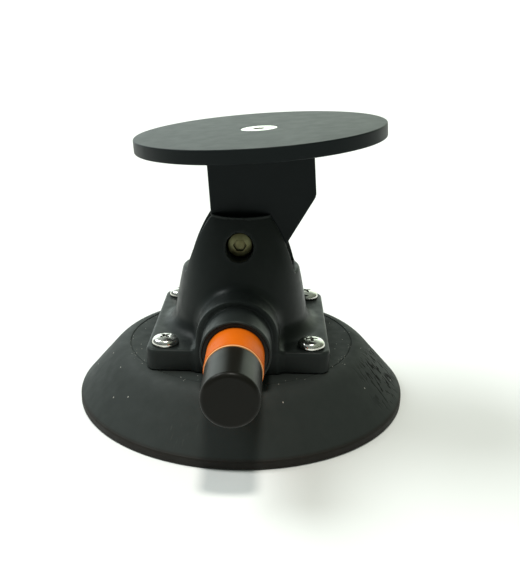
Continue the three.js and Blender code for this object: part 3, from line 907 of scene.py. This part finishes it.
class Finish(Nodes):
    """A node material round one Principled shader."""

    def __init__(self, name, roughness, metallic=0.0, specular=0.5):
        self.material = bpy.data.materials.new(name)
        self.material.use_nodes = True
        super().__init__(self.material.node_tree)
        self.shader = self.tree.nodes["Principled BSDF"]
        self.shader.inputs["Roughness"].default_value = roughness
        self.shader.inputs["Metallic"].default_value = metallic
        self.shader.inputs["Specular IOR Level"].default_value = specular
        self.place = self.node("ShaderNodeTexCoord").outputs["Object"]
        self.bumps = None

    def stretched(self, scale, at=None):
        """Coordinates scaled by a different number along each axis."""
        mapping = self.node("ShaderNodeMapping")
        mapping.inputs["Scale"].default_value = scale
        self.link(at or self.place, mapping.inputs["Vector"])
        return mapping.outputs["Vector"]

    def polar(self):
        """Each point's turn about the pad's axis in radians, its radius and its height."""
        mapping = self.node("ShaderNodeMapping")
        mapping.inputs["Location"].default_value = tuple(-AXIS)
        self.link(self.place, mapping.inputs["Vector"])
        parts = self.node("ShaderNodeSeparateXYZ")
        self.link(mapping.outputs["Vector"], parts.inputs["Vector"])
        x, y, z = (parts.outputs[axis] for axis in "XYZ")
        across = self.maths("ADD", self.maths("MULTIPLY", x, x), self.maths("MULTIPLY", y, y))
        return self.maths("ARCTAN2", y, x), self.maths("SQRT", across), z

    def window(self, value, low, high, soft):
        """One between two numbers, falling softly to nothing outside them."""
        rise = self.mapped(value, low - soft, low + soft)
        fall = self.mapped(value, high + soft, high - soft)
        return self.maths("MULTIPLY", rise, fall)

    def patch(self, turn, turns, radius, radii):
        """One inside a patch of the pad, given as windows on the turn and the radius."""
        return self.maths("MULTIPLY", self.window(turn, *turns), self.window(radius, *radii))

    def noise(self, scale, detail=3.0, roughness=0.55, at=None):
        made = self.node("ShaderNodeTexNoise")
        made.inputs["Scale"].default_value = scale
        made.inputs["Detail"].default_value = detail
        made.inputs["Roughness"].default_value = roughness
        self.link(at or self.place, made.inputs["Vector"])
        return made.outputs["Fac"]

    def cloud(self, scale, detail):
        """Soft patches, for a colour that drifts."""
        return self.mapped(self.noise(scale, detail), 0.35, 0.7)

    def colour(self, value):
        self.link(value, self.shader.inputs["Base Color"])

    def roughness(self, noise, low, high):
        """Lets the roughness drift between two values with a noise."""
        self.link(self.mapped(noise, 0.3, 0.7, low, high), self.shader.inputs["Roughness"])

    def bump(self, height, distance_mm, strength=1.0):
        """Adds a bump of that depth on top of the ones before it."""
        made = self.node("ShaderNodeBump")
        made.inputs["Strength"].default_value = strength
        made.inputs["Distance"].default_value = distance_mm * MM
        self.link(height, made.inputs["Height"])
        if self.bumps:
            self.link(self.bumps, made.inputs["Normal"])
        self.bumps = made.outputs["Normal"]
        self.link(self.bumps, self.shader.inputs["Normal"])

    def edges(self, low=0.505, high=0.56):
        """One along convex edges."""
        pointiness = self.node("ShaderNodeNewGeometry").outputs["Pointiness"]
        return self.mapped(pointiness, low, high)

    def openness(self, reach_mm):
        """How open the space before each point is, within that reach: low in recesses."""
        made = self.node("ShaderNodeAmbientOcclusion", samples=6)
        made.inputs["Distance"].default_value = reach_mm * MM
        return made.outputs["AO"]

    def specks(self, scale, size, share, at):
        """Small round specks, in that share of the cells of a random flat pattern."""
        cells = self.node("ShaderNodeTexVoronoi", voronoi_dimensions="2D")
        cells.inputs["Scale"].default_value = scale
        self.link(at, cells.inputs["Vector"])
        near = self.mapped(cells.outputs["Distance"], size, size * 0.6)
        chosen = self.node("ShaderNodeSeparateColor")
        self.link(cells.outputs["Color"], chosen.inputs["Color"])
        lucky = self.maths("LESS_THAN", chosen.outputs[0], share)
        return self.maths("MULTIPLY", near, lucky)


def pad_rubber():
    """Matt black rubber with dust, fine cracks on one flank, scratches and painted shade on the rim near
    the floor.
    """
    finish = Finish("pad_rubber", 0.66, specular=0.28)
    turn, radius, height = finish.polar()
    unrolled = finish.node("ShaderNodeCombineXYZ")
    finish.link(finish.maths("MULTIPLY", turn, 0.065), unrolled.inputs["X"])
    finish.link(radius, unrolled.inputs["Y"])
    skin = unrolled.outputs["Vector"]

    cloud = finish.cloud(30, 4)
    base = finish.mixed(cloud, (0.0180, 0.0222, 0.0202), (0.0200, 0.0244, 0.0222))
    # Painted shade: the rim goes darker and browner over its lowest few millimetres, next to the floor.
    floor_shade = finish.mapped(height, 0.0048, 0.0036)
    base = finish.mixed(floor_shade, base, (0.0115, 0.0095, 0.0070))

    flank = finish.patch(turn, (-0.46, 0.10, 0.10), radius, (0.0590, 0.0730, 0.0020))
    splits = finish.noise(1, 1, at=finish.stretched((620, 250, 1), skin))
    cracks = finish.maths("MULTIPLY", finish.mapped(splits, 0.545, 0.585), flank)
    base = finish.mixed(cracks, base, (0.0022, 0.0025, 0.0022))

    rubbed = finish.patch(turn, (-2.02, -1.80, 0.06), radius, (0.0650, 0.0735, 0.0020))
    lines = finish.noise(1, 1, at=finish.stretched((1500, 240, 1), skin))
    scratches = finish.maths("MULTIPLY", finish.mapped(lines, 0.62, 0.74), rubbed)
    base = finish.mixed(scratches, base, (0.030, 0.034, 0.030))

    dust = finish.specks(110, 0.030, 0.22, skin)
    groove = finish.window(radius, 0.0505, 0.0535, 0.0006)
    lint = finish.maths("MULTIPLY", finish.specks(600, 0.14, 0.10, skin), groove)
    finish.colour(finish.mixed(finish.maths("MAXIMUM", dust, lint), base, (0.50, 0.48, 0.43)))
    finish.roughness(finish.noise(160, 4), 0.60, 0.74)
    finish.bump(finish.noise(2600, 2), 0.05, 0.6)
    finish.bump(finish.noise(120, 4, 0.5), 0.10, 0.3)
    finish.bump(finish.maths("MULTIPLY", cracks, -1.0), 0.4)
    finish.link(finish.mapped(cracks, 0, 1, 0.28, 0.04), finish.shader.inputs["Specular IOR Level"])
    return finish.material


def housing_moulding():
    """Satin moulded nylon: a fine spark-eroded grain, handling marks and slightly lighter convex edges.
    """
    finish = Finish("housing_moulding", 0.36, specular=0.09)
    cloud = finish.mapped(finish.noise(55, 4), 0.35, 0.68)
    base = finish.mixed(cloud, (0.0150, 0.0178, 0.0168), (0.0180, 0.0214, 0.0202))
    # Lighter colour along convex edges, by how pointed the surface is there.
    paler_edge = finish.maths("MULTIPLY", finish.edges(), 0.3)
    finish.colour(finish.mixed(paler_edge, base, (0.0450, 0.0534, 0.0504)))
    finish.roughness(finish.noise(240, 5), 0.29, 0.45)
    finish.bump(finish.noise(2400, 2), 0.02, 0.4)
    finish.bump(finish.noise(120, 3), 0.06, 0.3)
    return finish.material


def cap_black():
    """Semi-gloss moulded black with faint patches."""
    finish = Finish("cap_black", 0.32, specular=0.10)
    cloud = finish.cloud(70, 4)
    finish.colour(finish.mixed(cloud, (0.0088, 0.0084, 0.0066), (0.0098, 0.0092, 0.0072)))
    finish.roughness(finish.noise(110, 4), 0.30, 0.35)
    finish.bump(finish.noise(500, 3), 0.002, 0.3)
    return finish.material


def indicator_orange():
    """Bright moulded orange with a painted highlight along its front edge."""
    finish = Finish("indicator_orange", 0.45, specular=0.05)
    cloud = finish.cloud(90, 4)
    base = finish.mixed(cloud, (0.64, 0.119, 0.0045), (0.70, 0.136, 0.0060))
    # Painted highlight: a paler cream band along the band's front edge, next to the cap, stands for the
    # light line its rounded edge catches.
    front, back = (AXIS[1] - (BAND.front + ahead) * MM for ahead in (1.0, -0.6))
    parts = finish.node("ShaderNodeSeparateXYZ")
    finish.link(finish.place, parts.inputs["Vector"])
    paler_edge = finish.window(parts.outputs["Y"], front, back, 0.00015)
    finish.colour(finish.mixed(paler_edge, base, (0.88, 0.42, 0.18)))
    finish.roughness(finish.noise(260, 4), 0.36, 0.5)
    finish.bump(finish.noise(1500, 2), 0.02, 0.5)
    return finish.material


def coated_aluminium():
    """Fine powder coat: a dense low orange peel over machined metal."""
    finish = Finish("coated_aluminium", 0.42, specular=0.1)
    cloud = finish.mapped(finish.noise(30, 4), 0.35, 0.68)
    finish.colour(finish.mixed(cloud, (0.0065, 0.0095, 0.0100), (0.0072, 0.0102, 0.0106)))
    finish.roughness(finish.noise(140, 5), 0.40, 0.45)
    finish.bump(finish.noise(1700, 3), 0.012, 0.5)
    return finish.material


def bright_metal(name, colour, tint, roughness, hollow_darkening, marks_depth=0.008):
    """Plain or plated metal with fine marks, a drifting tint, and hollows darkened by dirt and painted
    shade.
    """
    finish = Finish(name, roughness, metallic=1.0)
    base = finish.mixed(finish.cloud(220, 4), colour, tint)
    # Dirt and painted shade: the colour goes dark brown where ambient occlusion finds a recess, such as
    # a driver recess, thread roots and under a head.
    grime_and_shade = finish.maths("MULTIPLY", finish.mapped(finish.openness(1.5), 0.75, 0.35), hollow_darkening)
    finish.colour(finish.mixed(grime_and_shade, base, (0.022, 0.018, 0.012)))
    marks = finish.noise(1, 5, at=finish.stretched((700, 2600, 700)))
    finish.roughness(marks, roughness - 0.05, roughness + 0.08)
    finish.bump(marks, marks_depth, 0.4)
    return finish.material


def nylon():
    """Off-white nylon, a little translucent."""
    finish = Finish("nylon", 0.5)
    cloud = finish.cloud(120, 3)
    finish.colour(finish.mixed(cloud, (0.62, 0.59, 0.49), (0.70, 0.67, 0.58)))
    finish.shader.inputs["Subsurface Weight"].default_value = 0.08
    finish.shader.inputs["Subsurface Scale"].default_value = 0.001
    finish.roughness(finish.noise(400, 4), 0.42, 0.58)
    finish.bump(finish.noise(1800, 2), 0.02, 0.4)
    return finish.material


def seal_rubber():
    """Soft black nitrile with a faint bloom."""
    finish = Finish("seal_rubber", 0.55)
    bloom = finish.mapped(finish.noise(240, 5), 0.45, 0.75)
    finish.colour(finish.mixed(bloom, (0.012, 0.012, 0.012), (0.035, 0.035, 0.034)))
    finish.roughness(finish.noise(500, 4), 0.48, 0.66)
    finish.bump(finish.noise(2200, 2), 0.02, 0.5)
    return finish.material


def felt():
    """Pressed felt: crossing fibres with a soft nap."""
    finish = Finish("felt", 0.95, specular=0.2)
    fibres = finish.noise(1, 4, at=finish.stretched((900, 3600, 900)))
    crossing = finish.noise(1, 4, at=finish.stretched((3600, 900, 900)))
    nap = finish.maths("MAXIMUM", fibres, crossing)
    finish.colour(finish.mixed(finish.mapped(nap, 0.4, 0.75), (0.40, 0.37, 0.30), (0.70, 0.66, 0.56)))
    finish.shader.inputs["Sheen Weight"].default_value = 0.4
    finish.link(finish.mapped(nap, 0.3, 0.8, 0.85, 1.0), finish.shader.inputs["Roughness"])
    finish.bump(nap, 0.25, 0.8)
    return finish.material


METALS = {  # colour, tint, roughness, how far the hollows darken (dirt and painted shade), and the depth of its marks where they are finer
    "stainless": ((0.80, 0.79, 0.75), (0.70, 0.68, 0.62), 0.2, 1.0, 0.002),
    "zinc_steel": ((0.62, 0.62, 0.60), (0.50, 0.52, 0.53), 0.38, 0.6),
    "passivated_steel": ((0.145, 0.145, 0.075), (0.10, 0.095, 0.045), 0.40, 1.0),
    "spring_steel": ((0.46, 0.46, 0.45), (0.34, 0.34, 0.35), 0.32, 0.4),
    "brass": ((0.72, 0.52, 0.22), (0.60, 0.40, 0.16), 0.3, 0.6),
}
PLASTICS = (housing_moulding, indicator_orange, cap_black, nylon)
OTHERS = (pad_rubber, coated_aluminium, seal_rubber, felt)
MATERIALS = {finish.__name__: finish() for finish in PLASTICS + OTHERS}
MATERIALS.update({name: bright_metal(name, *look) for name, look in METALS.items()})


def dress(piece, body, slot, *nodes):
    """Gives a piece its finish, parents it to its body's empty and hides the nodes it stands for."""
    piece.data.materials.clear()
    piece.data.materials.append(MATERIALS[slot])
    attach(piece, body)
    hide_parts(*nodes)
    return piece


# ---- camera, floor and light


def make_camera():
    """The camera of the reference view, from the front and a little above."""
    data = bpy.data.cameras.new("camera")
    data.lens = 51.3
    data.sensor_width = 36
    data.shift_x = 0.0578
    data.clip_start = 0.02
    camera = bpy.data.objects.new("camera", data)
    bpy.context.scene.collection.objects.link(camera)
    target = Vector(AXIS) + Vector((-6.35, 0, 53.8)) * MM
    azimuth, elevation, distance = math.radians(3.24), math.radians(18.54), 372.73 * MM
    level = math.cos(elevation)
    back = Vector((math.sin(azimuth) * level, -math.cos(azimuth) * level, math.sin(elevation)))
    camera.location = target + back * distance
    camera.rotation_euler = (-back).to_track_quat("-Z", "Y").to_euler()
    bpy.context.scene.camera = camera


def make_floor():
    """A wide, flat, pale floor just under the sealing rim."""
    radius, drop, count = 4.0, 0.0002, 96
    angles = np.linspace(0, 2 * math.pi, count, endpoint=False)
    ring = [(radius * math.cos(a), radius * math.sin(a), -drop) for a in angles]
    mesh = bpy.data.meshes.new("floor")
    mesh.from_pydata(ring, [], [tuple(range(count))])
    floor = bpy.data.objects.new("floor", mesh)
    bpy.context.scene.collection.objects.link(floor)
    finish = Finish("floor_paper", 0.9, specular=0.1)
    finish.colour(finish.mixed(finish.noise(6, 2), (0.83, 0.83, 0.825), (0.86, 0.86, 0.855)))
    mesh.materials.append(finish.material)


def make_light(name, towards, strength, width_degrees, colour):
    """A far, wide lamp that shines in one direction."""
    data = bpy.data.lights.new(name, "SUN")
    data.energy = strength
    data.angle = math.radians(width_degrees)
    data.color = colour
    light = bpy.data.objects.new(name, data)
    bpy.context.scene.collection.objects.link(light)
    light.rotation_euler = Vector(towards).to_track_quat("-Z", "Y").to_euler()


def make_lights():
    """A wide window on the left and a smaller lamp overhead."""
    make_light("window", (0.60, -0.22, -0.76), 2.0, 30, (0.94, 1.0, 0.99))
    make_light("overhead", (-0.03, 0.14, -1.0), 1.7, 9, (1.0, 0.99, 0.92))


def make_surroundings():
    """A pale room with a bright wall behind, cooler on the left and greener on the right."""
    world = bpy.data.worlds.new("room")
    world.use_nodes = True
    bpy.context.scene.world = world
    room = Nodes(world.node_tree)
    parts = room.node("ShaderNodeSeparateXYZ")
    room.link(room.node("ShaderNodeTexCoord").outputs["Generated"], parts.inputs["Vector"])
    x, y, z = (parts.outputs[axis] for axis in "XYZ")
    behind = room.mapped(y, 0.45, 0.9, 0.0, 1.75, smooth=True)
    low = room.mapped(z, 0.75, 0.35, smooth=True)
    wall = room.maths("MULTIPLY", behind, low)
    wall = room.maths("MULTIPLY", wall, room.mapped(x, -0.6, 0.6, 1.2, 0.75))
    overhead = room.mapped(z, -0.2, 1.0, 0.05, 0.36)
    background = world.node_tree.nodes["Background"]
    room.link(room.maths("ADD", wall, overhead), background.inputs["Strength"])
    rightwards = room.mapped(x, -0.7, 0.7)
    room.link(room.mixed(rightwards, (0.88, 0.99, 1.0), (0.86, 1.0, 0.78)), background.inputs["Color"])


# ---- the scene


make_camera()
make_floor()
make_lights()
make_surroundings()
dress(build_pad(), "pad", "pad_rubber", "rubber_pad")
dress(build_housing(), "housing", "housing_moulding", "pump_housing")
build_flange_fasteners()
build_pivot_fasteners()
build_tilting_head()
build_pump_parts()
build_air_path()
bpy.context.scene.view_settings.view_transform = "Standard"
